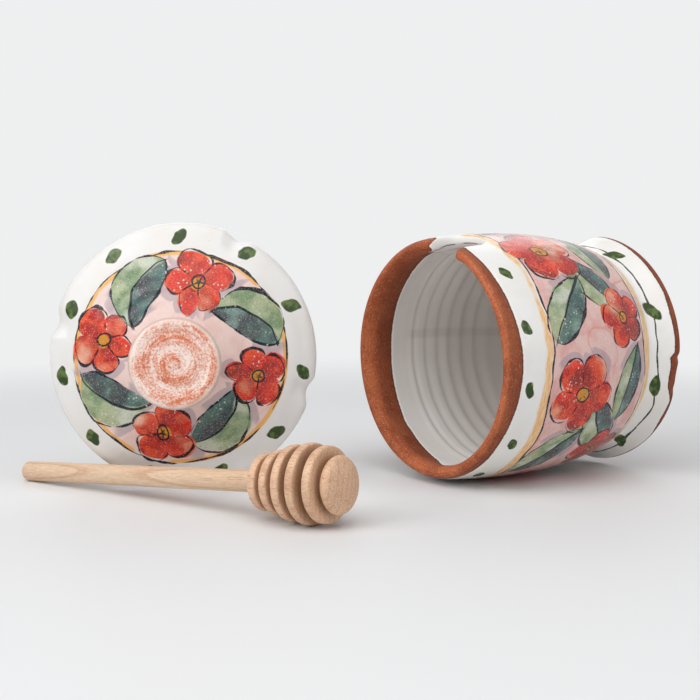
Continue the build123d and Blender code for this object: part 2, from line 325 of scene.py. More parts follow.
# glaze lines in mm, above zero where the clay is glazed
from_notch = theta * UNROLL_R
notch_gap = np.where(height < NOTCH_LOW, np.hypot(from_notch, height - NOTCH_LOW), np.abs(from_notch))
notch_gap = notch_gap - NOTCH_HALF
lip_line = POT_HEIGHT - BARE_LIP - height + wobble(theta, 3, 0.16) - 3.0 * near(theta, -80, 36)
wiped_at, wiped_z = np.array(FOOT_LINE).T
foot_line = height - np.interp(np.degrees(theta), wiped_at, wiped_z, period=360) - wobble(theta, 5, 0.1)
line_at, line_z = np.array(INNER_LINE).T
band_line = np.interp(np.degrees(theta), line_at, line_z, period=360) - height + wobble(theta, 8, 0.1)
glaze_out = np.minimum(lip_line, foot_line)
glaze_in = np.maximum(band_line, np.minimum(4.0 + wobble(theta, 9, 0.3) - notch_gap, lip_line))
glaze = glaze_out * (1 + side) / 2 + glaze_in * (1 - side) / 2
glaze[: len(foot)] = -3.0

# glaze smeared over one corner of the notch
first_lip = len(foot) + len(rise) + len(out_z)
lip_rows = slice(first_lip, first_lip + LIP_ROWS)
corner = ramp(by_notch, 0.02, 0.5) * (edge_x > 0)
glaze[lip_rows] += corner * (1.9 * np.exp(-(((across + 0.15) / 0.45) ** 2)) - 2.8 * ramp(across, 0.45, 0.95))

# the bare clay lies lower than the glaze, the hand left slow waves, and the foot's edge is nicked
bare = 1 - ramp(glaze, -0.35, 0.25)
radius = radius - GLAZE_THICK * bare * side
hand = 0.12 * (1 + np.sin(2 * theta + 0.6)) + 0.06 * (1 + np.sin(5 * theta + height / 9))
radius = radius - hand * (side > 0) * ramp(height, 14, 40)
for angle, spread, bite in FOOT_NICKS:
    nick = near(theta, angle, spread) * (side > 0) * ramp(height, 2.8, 1.2) * ramp(radius, 44, 48)
    radius = radius - bite * nick
height = height - (0.22 * bare + 0.12 * (1 + np.sin(3 * theta))) * ramp(height, 88, 95.5)

# the rubbed arris along the inner edge of the notch, where the glaze wore through
arris = np.zeros_like(height)
arris_at = np.radians(58) - np.radians(40) * ramp(edge_z, POT_HEIGHT - 4, NOTCH_LOW)
arris[lip_rows] = np.clip(1 - np.abs(phi + arris_at) / np.radians(7.5), 0, 1) * ramp(by_notch, 0.2, 0.9)

pot_rows = np.stack([radius * np.cos(theta), radius * np.sin(theta), height], axis=-1)
pot_turn = spin("Z", POT_TURN[0]) @ spin("Y", POT_TURN[1]) @ spin("X", POT_TURN[2]) @ spin("Y", POT_TURN[3])
pot_marks = {
    "glaze": glaze, "outside": side, "arris": arris,
    "groove": throwing(height, theta) * (side < 0) * ramp(THROWN_TO - height, 0, 3) * ramp(height, 20, 30),
}


class Layer:
    """What a shader node works out at each point of a surface, held by its output socket. Sums of
    layers and numbers with + - * / ** and abs() add the math nodes that work them out."""

    def __init__(self, socket):
        self.socket = socket

    def __add__(self, other):
        return calc("ADD", self, other)

    def __sub__(self, other):
        return calc("SUBTRACT", self, other)

    def __rsub__(self, other):
        return calc("SUBTRACT", other, self)

    def __mul__(self, other):
        return calc("MULTIPLY", self, other)

    def __truediv__(self, other):
        return calc("DIVIDE", self, other)

    def __pow__(self, other):
        return calc("POWER", self, other)

    def __abs__(self):
        return calc("ABSOLUTE", self)

    __radd__, __rmul__ = __add__, __mul__


def put(socket, value):
    """Joins a layer to a socket, or writes a plain number, vector or colour there."""
    if isinstance(value, Layer):
        socket.id_data.links.new(value.socket, socket)
    else:
        socket.default_value = (*value, 1) if socket.type == "RGBA" else value


def fresh(kind, *values):
    """A new node of a kind in the tree that the layers among the values belong to."""
    tree = next(value.socket.id_data for value in values if isinstance(value, Layer))
    return tree.nodes.new("ShaderNode" + kind)


def fill(node, **values):
    """Puts each value in the socket of that name, spaces written as underscores."""
    for label, value in values.items():
        put(node.inputs[label.replace("_", " ")], value)
    return node


def calc(operation, *values):
    """One math node: the operation on one or two values."""
    node = fresh("Math", *values)
    node.operation = operation
    for socket, value in zip(node.inputs, values):
        put(socket, value)
    return Layer(node.outputs[0])


def least(first, *others):
    """The least of several layers."""
    for other in others:
        first = calc("MINIMUM", first, other)
    return first


def most(first, *others):
    """The most of several layers."""
    for other in others:
        first = calc("MAXIMUM", first, other)
    return first


def far(x, y):
    """Distance from the middle: sqrt(x^2 + y^2)."""
    return calc("SQRT", x * x + y * y)


def mask(value, empty, full):
    """Smooth step from 0 where value is empty to 1 where it is full."""
    node = fresh("MapRange", value)
    node.interpolation_type = "SMOOTHSTEP"
    return Layer(fill(node, Value=value, From_Min=empty, From_Max=full).outputs["Result"])


def brush(under, *coats):
    """Coats of paint laid over what is under them, each a colour and how thick it lies, 0 to 1."""
    for paint, amount in coats:
        node = fresh("Mix", amount, under, paint)
        node.data_type = "RGBA"
        for number, value in ((0, amount), (6, under), (7, paint)):
            put(node.inputs[number], value)
        under = Layer(node.outputs[2])
    return under


def split(layer, kind="XYZ"):
    """The three parts of a vector or a colour."""
    node = fresh("Separate" + kind, layer)
    put(node.inputs[0], layer)
    return [Layer(socket) for socket in node.outputs]


def join(*parts):
    """A vector from up to three parts."""
    node = fresh("CombineXYZ", *parts)
    for socket, part in zip(node.inputs, parts):
        put(socket, part)
    return Layer(node.outputs[0])


def noise(where, scale, detail, rough):
    """Soft noise about 0.5, with scale spots to the millimetre."""
    return fill(fresh("TexNoise", where), Vector=where, Scale=scale, Detail=detail, Roughness=rough)


def clouds(where, scale, detail=3.0, rough=0.5):
    """The same noise as one value."""
    return Layer(noise(where, scale, detail, rough).outputs["Fac"])


def spots(where, scale):
    """Distance from the nearest of scattered points, scale of them to the millimetre."""
    return Layer(fill(fresh("TexVoronoi", where), Vector=where, Scale=scale).outputs["Distance"])


def stretch(where, scale=(1, 1, 1), turn=(0, 0, 0), shift=(0, 0, 0)):
    """The same points scaled, turned and shifted."""
    node = fresh("Mapping", where)
    return Layer(fill(node, Vector=where, Location=shift, Rotation=turn, Scale=scale).outputs["Vector"])


def new_sockets(tree, in_out, labels):
    """A group's named sockets, each for a number unless the name is listed as a vector or a colour."""
    kinds = {"Own": "Vector", "Color": "Color", "Ground": "Color", "Light": "Color", "Dark": "Color"}
    for label in labels:
        tree.interface.new_socket(label, in_out=in_out, socket_type="NodeSocket" + kinds.get(label, "Float"))


def start_group(name, inputs):
    """An empty group of shader nodes, and the layers that its named inputs bring in."""
    tree = bpy.data.node_groups.new(name, "ShaderNodeTree")
    new_sockets(tree, "INPUT", inputs.split())
    arriving = tree.nodes.new("NodeGroupInput").outputs
    return tree, [Layer(arriving[label]) for label in inputs.split()]


def end_group(tree, **layers):
    """The group's named outputs, each given its layer."""
    new_sockets(tree, "OUTPUT", layers)
    fill(tree.nodes.new("NodeGroupOutput"), **layers)


def use(group, **values):
    """One copy of a group, its inputs filled by name: its outputs by name."""
    node = fresh("Group", *values.values())
    node.node_tree = group
    return {socket.name: Layer(socket) for socket in fill(node, **values).outputs}


def start_material(name):
    """An empty node material and its Principled shader."""
    material = bpy.data.materials.new(name)
    material.use_nodes = True
    return material, material.node_tree.nodes["Principled BSDF"]


def mark_of(shader, name, kind="Fac"):
    """A value or vector stored on the mesh."""
    node = shader.id_data.nodes.new("ShaderNodeAttribute")
    node.attribute_name = name
    return Layer(node.outputs[kind])


# garland: repeats a motif round the piece. U is the way along from the middle of its place in mm,
# and the two chances differ from place to place
garland, (own, radius, count, start) = start_group("garland", "Own Radius Count Start")
x, y, _ = split(own)
places = (calc("ARCTAN2", y, x) * (1 / (2 * np.pi)) + start) * count
number = calc("ROUND", places)
dice = fresh("TexWhiteNoise", own)
dice.noise_dimensions = "1D"
fill(dice, W=calc("FLOORED_MODULO", number, count) + start + 0.37)
chance, other, _ = split(Layer(dice.outputs["Color"]), "Color")
end_group(garland, U=(places - number) * (radius * (2 * np.pi) / count), Chance=chance, Other=other)


def hang(own, up, radius, count, start, level, spread):
    """A garland's motifs at a level, lifted by chance: the way along and up from each and its chances."""
    place = use(garland, Own=own, Radius=radius, Count=count, Start=start)
    return place["U"], up - (place["Chance"] * spread + level), place["Chance"], place["Other"]


def shaken(own, u, v, amount, scale, seed):
    """(u, v) pushed about by soft noise, as a hand-held brush wanders."""
    seen = noise(stretch(own, shift=(seed, seed, 0)), scale, 1.0, 0.5)
    push_u, push_v, _ = split(Layer(seen.outputs["Color"]), "Color")
    return (push_u - 0.5) * (2 * amount) + u, (push_v - 0.5) * (2 * amount) + v


def slanted(u, v, angle):
    """(u, v) turned by an angle."""
    node = fresh("VectorRotate", u)
    node.rotation_type = "Z_AXIS"
    return split(Layer(fill(node, Vector=join(u, v), Angle=angle).outputs[0]))[:2]


def pen(gap, pressure):
    """An ink line along the edge of a motif that thins out where the pressure is low."""
    return mask(abs(gap) - (pressure * 2.5 - 1.04), 0.24, 0.0)


def petals(u, v, size, turn):
    """Five round petals: distance from the line r = size (0.64 + 0.36 |cos(5/2 angle)|^0.6)."""
    r = far(u, v)
    lobe = abs(calc("COSINE", (calc("ARCTAN2", v, u) + turn) * 2.5))
    return r, lobe, r - (lobe**0.6 * 0.36 + 0.64) * size


# blossom: a red five-petalled flower with a loose ink outline that misses its edge here and there
blossom, (own, u, v, size, turn) = start_group("blossom", "Own U V Size Turn")
r, lobe, petal = petals(*shaken(own, u, v, 1.3, 0.11, 3.0), size, turn)
fold = lobe * mask(r / size, 0.9, 0.2)
ink_u, ink_v = shaken(own, u, v, 2.2, 0.07, 9.0)
ink_r, lobe, line = petals(ink_u + 0.5, ink_v, size, turn)
pressure = clouds(own, 0.16, 2.0)
veins = mask(lobe * ink_r * 0.4 - 0.22, 0.25, 0.0) * mask(ink_r / size, 0.66, 0.5) * mask(pressure, 0.42, 0.6)
eye_line = mask(abs(ink_r - size * 0.2), 0.5, 0.22)
end_group(blossom, Petal=petal, Eye=r - size * 0.2, Ink=most(pen(line, pressure), veins, eye_line), Fold=fold)


def blade(own, u, v, length, width, turn, amount, scale, seed):
    """Distance from a leaf: |across - bow| - half width (1 - t^2)^0.75 (1 - 0.22 t), t along it."""
    along, across = slanted(*shaken(own, u, v, amount, scale, seed), turn)
    t = along * 2.0 / length
    across = t * t * 1.8 + across
    full = most(1.0 - t * t, 0.0) ** 0.75 * (t * -0.22 + 1.0)
    return most(abs(across) - width * 0.5 * full, (abs(t) - 1.0) * 16.0), across, t


# leaf: a pointed leaf, pale on one side of its rib and dark on the other, with an ink outline
leaf, (own, *shape) = start_group("leaf", "Own U V Length Width Turn")
leaf_gap, leaf_side, _ = blade(own, *shape, 1.2, 0.10, 5.0)
edge, across, t = blade(own, *shape, 1.8, 0.08, 13.0)
rib = mask(abs(across) - (t * 0.25 + 0.3), 0.3, 0.0) * mask(abs(t), 1.12, 1.0)
end_group(leaf, Leaf=leaf_gap, Side=leaf_side, Ink=most(pen(edge, clouds(own, 0.14, 2.0)), rib))

# dab: one touch of a round brush
dab, (own, u, v, length, width, turn) = start_group("dab", "Own U V Length Width Turn")
along, across = slanted(*shaken(own, u, v, 1.3, 0.2, 21.0), turn)
end_group(dab, Dab=mask(abs(along * 2.0 / length) ** 1.8 + abs(across * 2.0 / width) ** 1.8, 1.2, 0.9))

# paint: lays shadow wash, leaves, blossoms, ink and white glaze specks over the ground
INK = (0.006, 0.009, 0.020)
OCHRE = (0.66, 0.30, 0.035)
SHADOW_WASH = (0.34, 0.28, 0.34)
GLAZE_SPECK = (0.86, 0.80, 0.74)
paint, (own, ground, petal, eye, fold, leaf_gap, leaf_side, ink, shade, dabbed) = start_group(
    "paint", "Own Ground Petal Eye Fold Leaf Side Ink Shade Dab"
)
wash = clouds(own, 0.11, 3.0, 0.55)
grain = clouds(own, 1.5, 2.0, 0.7)
puddle = clouds(own, 0.07, 2.0)
leaf_on, petal_on = mask(leaf_gap, 0.35, -0.35), mask(petal, 0.3, -0.3)
pale = brush(
    (0.16, 0.28, 0.13),
    ((0.40, 0.47, 0.27), mask(wash, 0.38, 0.58)),  # brushed out
    ((0.66, 0.71, 0.58), mask(puddle, 0.52, 0.68) * 0.8),  # thinned with water
)
dark = brush(
    (0.014, 0.038, 0.048),
    ((0.060, 0.165, 0.140), mask(wash, 0.38, 0.60)),  # brushed out
    ((0.22, 0.37, 0.32), mask(puddle, 0.46, 0.34) * 0.7),  # thinned with water
)
green = brush(
    dark, (pale, mask(leaf_side, -0.7, 0.7)),
    ((0.58, 0.62, 0.55), mask(grain, 0.54, 0.72) * 0.4),  # light and dark grains of pigment
    ((0.02, 0.05, 0.06), mask(grain, 0.46, 0.30) * 0.45),
)
red = brush(
    (0.48, 0.005, 0.003),
    ((0.79, 0.034, 0.012), mask(wash, 0.40, 0.58)),  # brushed out
    ((0.88, 0.085, 0.018), mask(clouds(own, 0.17), 0.50, 0.60) * 0.75),
    ((0.84, 0.27, 0.14), mask(puddle, 0.53, 0.65) * 0.8),  # thinned with water
    # palest where the paint is thinnest, which also paints highlights on the glossy red
    ((0.90, 0.58, 0.45), mask(puddle, 0.62, 0.72) * 0.7),
    ((0.20, 0.006, 0.008), mask(puddle, 0.45, 0.34) * 0.8),  # pooled
    ((0.30, 0.010, 0.010), fold * 0.55),  # folds between the petals
    ((0.87, 0.38, 0.22), mask(grain, 0.54, 0.70) * 0.45),  # light and dark grains of pigment
    ((0.28, 0.010, 0.010), mask(grain, 0.46, 0.32) * 0.45),
)
olive = brush((0.032, 0.062, 0.012), ((0.12, 0.18, 0.045), mask(clouds(own, 0.35), 0.44, 0.66)))
sprinkled = mask(spots(own, 0.62), 0.28, 0.18) * mask(wash, 0.52, 0.62)
dusting = mask(spots(own, 1.1), 0.22, 0.12) * mask(wash, 0.50, 0.38)
specks = most(sprinkled, dusting * 0.7) * most(petal_on, leaf_on)
color = brush(
    ground, (SHADOW_WASH, shade * 0.55), (green, leaf_on * 0.93), (red, petal_on * 0.96),
    (OCHRE, mask(eye, 0.3, -0.3) * 0.9), (INK, ink * (mask(grain, 0.34, 0.48) * 0.29 + 0.70)),
    (olive, dabbed), (GLAZE_SPECK, specks * 0.75),
)
end_group(paint, Color=color, Thick=specks * 0.6 + most(petal_on, leaf_on, ink) * 0.5)

# clay: fired red earthenware, open and a little sandy, finger-marked round the piece, darker toward
# the glaze line and along its edge, and darkened where asked, as with the painted shade inside the pot's lip
clay, (own, glazing, shade_and_dark) = start_group("clay", "Own Glaze Flash")
sand = clouds(own, 1.25, 4.0, 0.75)
x, y, z = split(own)
finger = clouds(join(far(x, y), z, (x + y) * 0.07), 1.5, 3.0, 0.65)
color = brush(
    (0.37, 0.080, 0.028), ((0.58, 0.160, 0.060), mask(clouds(own, 0.09, 4.0, 0.6), 0.32, 0.66)),
    ((0.70, 0.32, 0.17), mask(sand, 0.54, 0.68) * 0.65),  # sand and pores
    ((0.15, 0.032, 0.014), mask(sand, 0.47, 0.33) * 0.7),
    ((0.72, 0.45, 0.30), mask(spots(own, 0.55), 0.17, 0.11) * 0.7),  # pale grits
    ((0.13, 0.032, 0.016), mask(finger, 0.48, 0.34) * 0.28),  # finger marks
    ((0.67, 0.27, 0.13), mask(finger, 0.55, 0.70) * 0.25),
    # painted shade inside the lip, and darker on the outside of the lip and under the foot
    ((0.10, 0.024, 0.012), shade_and_dark),
    ((0.16, 0.040, 0.018), mask(glazing, -3.2, -0.3) * 0.3),  # toward the glaze, then along its edge
    ((0.055, 0.016, 0.010), mask(glazing, -0.75, -0.2) * 0.8),
)
end_group(clay, Color=color, Height=finger * 0.5 + (sand * 0.7 + clouds(own, 0.4) * 0.5) - 0.85)

# glost: white tin glaze, a little cream where thin, cooler and greyer where it pools; on the pot this greying
# also paints the shade down in the throwing grooves
glost, (own, pool_shade) = start_group("glost", "Own Pool")
color = brush(
    (0.83, 0.80, 0.75), ((0.87, 0.86, 0.84), mask(clouds(own, 0.05), 0.3, 0.7)), ((0.50, 0.47, 0.49), pool_shade),
    ((0.52, 0.38, 0.30), mask(spots(own, 0.17), 0.05, 0.03) * 0.4),  # pinholes
)
end_group(glost, Color=color, Height=clouds(own, 0.12, 2.0))

# wash: the pink slip brushed on under the garland, with a red thread of a curl here and there
pink_wash, (own,) = start_group("wash", "Own")
stroke = clouds(stretch(own, (0.8, 0.8, 1.0), turn=(0.2, 0.1, 0)), 0.14, 3.0, 0.55)
speckle = clouds(own, 1.6, 3.0, 0.75)
curl = abs(clouds(stretch(own, shift=(7, 3, 11)), 0.055, 0.0) - 0.47)
curl = mask(curl - stroke * 0.008, 0.009, 0.001) * mask(clouds(own, 0.05, 1.0), 0.50, 0.58)
color = brush(
    (0.70, 0.325, 0.285), ((0.78, 0.505, 0.465), mask(stroke, 0.32, 0.60)),
    ((0.87, 0.76, 0.72), mask(speckle, 0.54, 0.70) * 0.6),
    ((0.60, 0.26, 0.21), mask(speckle, 0.46, 0.30) * 0.35), ((0.66, 0.20, 0.13), curl * 0.5),
)
end_group(pink_wash, Color=color)


def beside(gap, u, v):
    """A crescent of shadow wash on one side of a motif: within about 3 mm of it where u > 0.7 v."""
    return mask(gap, 3.6, 2.9) * mask(v * -0.7 + u, 0.0, 4.0)


def flowers(own, up, radius, count, start, level, spread, size, grow):
    """A ring of blossoms of about one size, each turned by chance."""
    u, v, chance, other = hang(own, up, radius, count, start, level, spread)
    ring = use(blossom, Own=own, U=u, V=v, Size=other * grow + size, Turn=chance * 9.0)
    return {**ring, "Wash": beside(ring["Petal"], u, v)}


def foliage(own, up, radius, count, start, level, spread, length, width, turn):
    """A ring of leaves that lie at about one slant."""
    u, v, _, other = hang(own, up, radius, count, start, level, spread)
    ring = use(leaf, Own=own, U=u, V=v, Length=length, Width=width, Turn=other * 0.5 + turn)
    return {**ring, "Wash": beside(ring["Leaf"], u, v)}


def touches(own, up, radius, count, start, level, spread, length, width, swing, turn):
    """A ring of brush dabs."""
    u, v, _, other = hang(own, up, radius, count, start, level, spread)
    return use(dab, Own=own, U=u, V=v, Length=length, Width=width, Turn=other * swing + turn)["Dab"]


def decorate(own, ground, blossoms, leaves, dabs, lines, dry, bare=0.0):
    """The painting over its ground: blossoms over leaves over ink lines. The shadow wash shows where
    soft noise is above dry, and nothing but dabs is painted where bare is 1."""
    petal = least(*[ring["Petal"] for ring in blossoms])
    gap, side = leaves[0]["Leaf"], leaves[0]["Side"]
    for ring in leaves[1:]:
        side = side + calc("LESS_THAN", ring["Leaf"], gap) * (ring["Side"] - side)
        gap = least(gap, ring["Leaf"])
    leaf_ink = most(*[ring["Ink"] for ring in leaves]) * mask(petal, -0.4, 0.2)
    lines = lines * mask(least(petal, gap), -0.2, 0.4)
    ink = most(*[ring["Ink"] for ring in blossoms], leaf_ink, lines)
    shade = most(*[ring["Wash"] for ring in blossoms + leaves])
    shade = shade * mask(clouds(own, 0.055, 1.0), dry, dry + 0.04)
    eye, fold = least(*[ring["Eye"] for ring in blossoms]), most(*[ring["Fold"] for ring in blossoms])
    clear = bare * 20.0
    return use(
        paint, Own=own, Ground=ground, Petal=petal + clear, Eye=eye + clear, Fold=fold, Leaf=gap + clear,
        Side=side, Ink=ink * (1.0 - bare), Shade=shade * (1.0 - bare), Dab=most(*dabs),
    )


def bump(height, distance, strength, under=None):
    """Relief from a height, over another relief."""
    node = fill(fresh("Bump", height), Height=height, Distance=distance, Strength=strength)
    if under:
        fill(node, Normal=under)
    return Layer(node.outputs[0])


def fire(shader, bare, glazed, glaze_on, white, painted):
    """Bare clay and glossy glaze on one piece: colour, gloss, and the relief of grit, glaze and paint."""
    grit = bump(bare["Height"] * (1.0 - glaze_on), 0.0005, 0.6)
    relief = bump(painted["Thick"] * 0.12 + white["Height"], 0.0006, 0.35, grit)
    color = brush(bare["Color"], (glazed, glaze_on))
    fill(shader, Base_Color=color, Roughness=glaze_on * -0.40 + 0.58, Specular_IOR_Level=0.24, Normal=relief)


# the pot's painting. Bands lie in mm below the rim: the pink wash, which fades in and out between two
# places, orange stripes (place, least and most half width, strength) and ink lines (place, sway,
# weight). Blossoms are (start, height, size), leaves (start, height, length, width, turn) and dabs (how
# many, start, place below the rim, length, width), where start is a share of a turn
PINK_TOP = (20.2, 21.4)
PINK_FOOT = (78.5, 75.5)
ORANGE_STRIPES = ((19.1, 1.3, 2.7, 0.85), (79.8, 1.4, 3.4, 0.8))
INK_LINES = ((21.4, 0.5, 1.35), (77.2, 0.6, 1.6), (86.4, 0.55, 1.1))
GARLAND_R = 50.5
GARLAND_PLACES = 5
POT_BLOSSOMS = ((0.06, 54.5, 17.3), (0.165, 30.5, 13.6))
POT_LEAVES = ((0.150, 59.0, 35.0, 17.0, 0.5), (0.112, 42.0, 36.0, 17.0, -0.8), (0.055, 29.0, 34.0, 15.0, 0.0))
POT_DABS = ((13, 0.02, 10.0, 6.4, 4.2), (9, 0.045, 84.8, 9.6, 4.6))

pot_paint, shader = start_material("painted_earthenware_pot")
own, glazing, outside = mark_of(shader, "own", "Vector"), mark_of(shader, "glaze"), mark_of(shader, "outside")
x, y, z = split(own)
below = POT_HEIGHT - z + (clouds(own, 0.045, 2.0) - 0.5) * 5.0
# greyer down in the throwing grooves: pooled glaze, and painted shade in the grooves
white = use(glost, Own=own, Pool=mark_of(shader, "groove") * 0.3)
pink_on = mask(below, *PINK_TOP) * mask(below, *PINK_FOOT)
ground = brush(white["Color"], (use(pink_wash, Own=own)["Color"], pink_on * 0.93))
load = clouds(own, 0.05, 2.0)
wander = (clouds(own, 0.03, 2.0) - 0.5) * 7.0
streak = mask(clouds(stretch(own, (0.3, 0.3, 1.4)), 1.0, 2.0), 0.40, 0.62)
orange = brush((0.84, 0.40, 0.095), ((0.89, 0.60, 0.29), streak))
for place, least_half, most_half, strength in ORANGE_STRIPES:
    half = mask(load, 0.35, 0.65) * (most_half - least_half) + least_half
    stripe = mask(abs(wander * 0.3 + below - place), half, half * 0.45)
    ground = brush(ground, (orange, stripe * (mask(load, 0.28, 0.42) * strength)))
lines = []
for place, sway, weight in INK_LINES:
    half = clouds(own, 0.11, 2.0) * weight + (0.25 - 0.5 * weight)
    lines.append(mask(abs(wander * sway + below - place) - half, 0.2, 0.0))
blossoms = [
    flowers(own, z, GARLAND_R, GARLAND_PLACES, start, level, 5.0, 0.92 * size, 0.16 * size)
    for start, level, size in POT_BLOSSOMS
]
leaves = [
    foliage(own, z, GARLAND_R, GARLAND_PLACES, start, level, 4.0, *shape)
    for start, level, *shape in POT_LEAVES
]
dabs = [
    touches(own, POT_HEIGHT - z, 50, count, start, level, 1.6, length, width, 0.9, 0.1)
    for count, start, level, length, width in POT_DABS
]
painted = decorate(own, ground, blossoms, leaves, dabs, most(*lines), 0.44)

# the white lining: painted shade deepening toward the floor, a faint darker band across the far wall that is
# a painted reflection, and a painted highlight along the glaze's thick edge
# a faint darker band across the far wall: a painted reflection
painted_reflection_band = mask(abs(calc("ARCTAN2", y, x) - 1.6), 0.07, 0.02) * mask(z, 74.0, 66.0)
# a painted highlight along the glaze's thick edge inside the mouth
painted_highlight_edge = mask(glazing, 0.15, 0.4) * mask(glazing, 1.3, 0.7)
lining = brush(
    # a lighter coat all over, then painted shade deepening toward the floor
    white["Color"], ((0.95, 0.94, 0.92), 0.4), ((0.71, 0.68, 0.645), mask(z, 66.0, 36.0)),
    ((0.45, 0.40, 0.36), painted_reflection_band * 0.22), ((0.98, 0.97, 0.96), painted_highlight_edge * 0.9),
)
glazed = brush(lining, (painted["Color"], mask(outside, 0.6, 0.9)))

# the bare clay: painted shade on the inner band of the lip, darker on the outside of the lip and
# under the foot, and rubbed through the glaze on the notch's edge
shade_in_lip = mask(outside, -0.6, -1.0) * mask(z, 92.5, 86.0)
dark_out_lip = mask(outside, 0.45, 1.0) * mask(z, 80.0, 88.0)
shade_and_dark = mask(z, 8.0, 6.0) * 0.6 + (shade_in_lip * 0.5 + dark_out_lip * 0.5)
rubbed = mark_of(shader, "arris") * mask(clouds(own, 0.25, 2.0), 0.32, 0.42)
ragged = (clouds(own, 1.1, 2.0) - 0.5) * 0.5 + glazing
glaze_on = mask(ragged, -0.12, 0.12) - mask(rubbed, 0.25, 0.6)
fire(shader, use(clay, Own=own, Glaze=glazing, Flash=shade_and_dark), glazed, glaze_on, white, painted)
shell("pot_visual", pot_rows, POT_FOOT_AT, pot_turn, pot_marks, pot_paint, "pot", ["pot"])

# ----------------------------------------------------------------------------------------------
# The lid: thrown upside down in the same clay, with a flange that drops inside the lip, a disc knob
# trimmed with a spiral, and an edge pinched in at four places while it was soft.

# sizes in mm, the lid lying on z = 0: knob, dome and brim, then flange and hollow, as (radius, height),
# the turns of the four pinches and their depth, and where the middle of the brim comes to
LID_TOP = (
    (1.5, 37.85), (7.0, 37.85), (11.5, 37.75), (14.2, 37.95), (15.6, 37.85), (16.9, 37.1), (17.35, 35.6),
    (16.9, 34.0), (15.0, 31.9), (12.6, 29.4), (11.3, 26.8), (11.0, 24.4), (12.6, 22.2), (17.4, 19.8),
    (29.1, 15.2), (38.5, 11.2), (41.6, 9.9), (44.5, 8.8), (47.5, 7.3), (50.3, 6.0), (51.9, 4.9),
    (52.75, 3.7), (52.93, 2.7), (52.6, 1.4), (51.9, 0.5), (51.0, 0.06), (49.0, 0.0),
)
LID_UNDER = (
    (49.0, 0.0), (45.0, 0.0), (43.2, 0.02), (42.5, -0.5), (42.4, -1.5), (42.4, -5.5), (42.2, -7.0),
    (41.3, -7.8), (40.2, -8.0), (38.9, -7.95), (37.8, -7.5), (37.4, -6.6), (37.4, -2.0), (37.2, 2.4),
    (34.5, 5.2), (26.0, 9.9), (13.0, 14.1), (1.5, 15.5),
)
PINCHES = (65.0, 165.0, 255.0, 344.0)
PINCH_DEPTH = 2.2
COIL_PITCH = 7.6
RIPPLE_PITCH = 5.2
LID_AT = (-67.473, -6.589, 53.013)
LID_COLUMNS = 360

top, under = evenly(smooth_curve(LID_TOP), 0.85), evenly(smooth_curve(LID_UNDER), 1.3)
lid_line = np.vstack([top, under[1:]])
lid_r, lid_z = lid_line[:, :1], lid_line[:, 1:]
turn_at = np.arange(LID_COLUMNS) / LID_COLUMNS * 2 * np.pi
on_top = (np.arange(len(lid_line)) < len(top))[:, None] * 1.0

# each pinch sinks exp(-(away / 4.4)^2), away in mm along the brim, with a faint swell on both sides
pinch = 0.0
for angle in np.radians(PINCHES):
    away = ((turn_at - angle + np.pi) % (2 * np.pi) - np.pi) * 50
    pinch = pinch + np.exp(-((away / 4.4) ** 2)) - 0.25 * np.exp(-(((np.abs(away) - 8.0) / 3.4) ** 2))
pinch = np.maximum(pinch, 0)
share = ramp(lid_r, 43.5, 52.0) * (lid_z > -0.5)
lid_radius = lid_r - PINCH_DEPTH * share * pinch
lift = 0.5 * share * on_top * pinch - 0.9 * ramp(lid_r, 42.0, 49.0) * on_top * (lid_z > 3) * pinch

# the spiral trimmed in the knob's face, and the faint spiral that throwing left on the dome
coil = 0.18 * np.cos(2 * np.pi * lid_r / COIL_PITCH - turn_at) - 0.22
knob_face = on_top * (lid_z > 36.0) * (1 - ramp(lid_r, 11.5, 14.5)) * ramp(lid_r, 1.0, 3.0)
ripple = 0.10 * (np.sin(2 * np.pi * lid_r / RIPPLE_PITCH - turn_at) - 1)
dome = on_top * (lid_z < 21) * ramp(lid_r, 18, 24) * (1 - ramp(lid_r, 36, 41))

# glaze on top down to the brim's edge and in the hollow, as far from its line in mm as the pot's is
lid_glaze = np.where(on_top > 0, lid_z - 0.7 + wobble(turn_at, 31, 0.12), -2.0)
hollow_line = 36.6 - lid_r + wobble(turn_at, 33, 0.2)
lid_glaze = np.where((on_top == 0) & (lid_z > 0) & (lid_r < 40), hollow_line, lid_glaze)
lid_glaze = np.where(on_top * (lid_r < 20) > 0, 3.0, lid_glaze)
worn = 0.15 * (1 - ramp(lid_glaze, -0.35, 0.25)) * (lid_z < 0.6) * (lid_r > 43)
lid_height = lid_z + lift + knob_face * coil + dome * ripple + worn
lid_rows = np.stack([lid_radius * np.cos(turn_at), lid_radius * np.sin(turn_at), lid_height], axis=-1)

# the lid's painting, r mm from the middle: pink inside an orange stripe, an ink line beside it, four
# blossoms and four leaves on the pink, and dabs on the white border. The pink and the knob's salmon
# fade in between two places
LID_PINK = (41.4, 40.4)
LID_STRIPE = 41.3
LID_INK = 42.0
KNOB_SALMON = (18.2, 17.6)
lid_paint, shader = start_material("painted_earthenware_lid")
own, glazing, outside = mark_of(shader, "own", "Vector"), mark_of(shader, "glaze"), mark_of(shader, "outside")
x, y, z = split(own)
r = far(x, y)
ring = (clouds(own, 0.04, 2.0) - 0.5) * 2.4 + r
white = use(glost, Own=own, Pool=0.1)
pink = brush(use(pink_wash, Own=own)["Color"], ((0.92, 0.82, 0.75), 0.42))
load = clouds(own, 0.045, 2.0)
half = mask(load, 0.35, 0.6) * 0.6 + 0.6
stripe = mask(abs(ring - LID_STRIPE), half, half * 0.5) * (mask(load, 0.36, 0.46) * 0.9)
ground = brush(white["Color"], (pink, mask(ring, *LID_PINK) * 0.93), ((0.86, 0.43, 0.08), stripe))
wander = (clouds(own, 0.035, 2.0) - 0.5) * 5.0
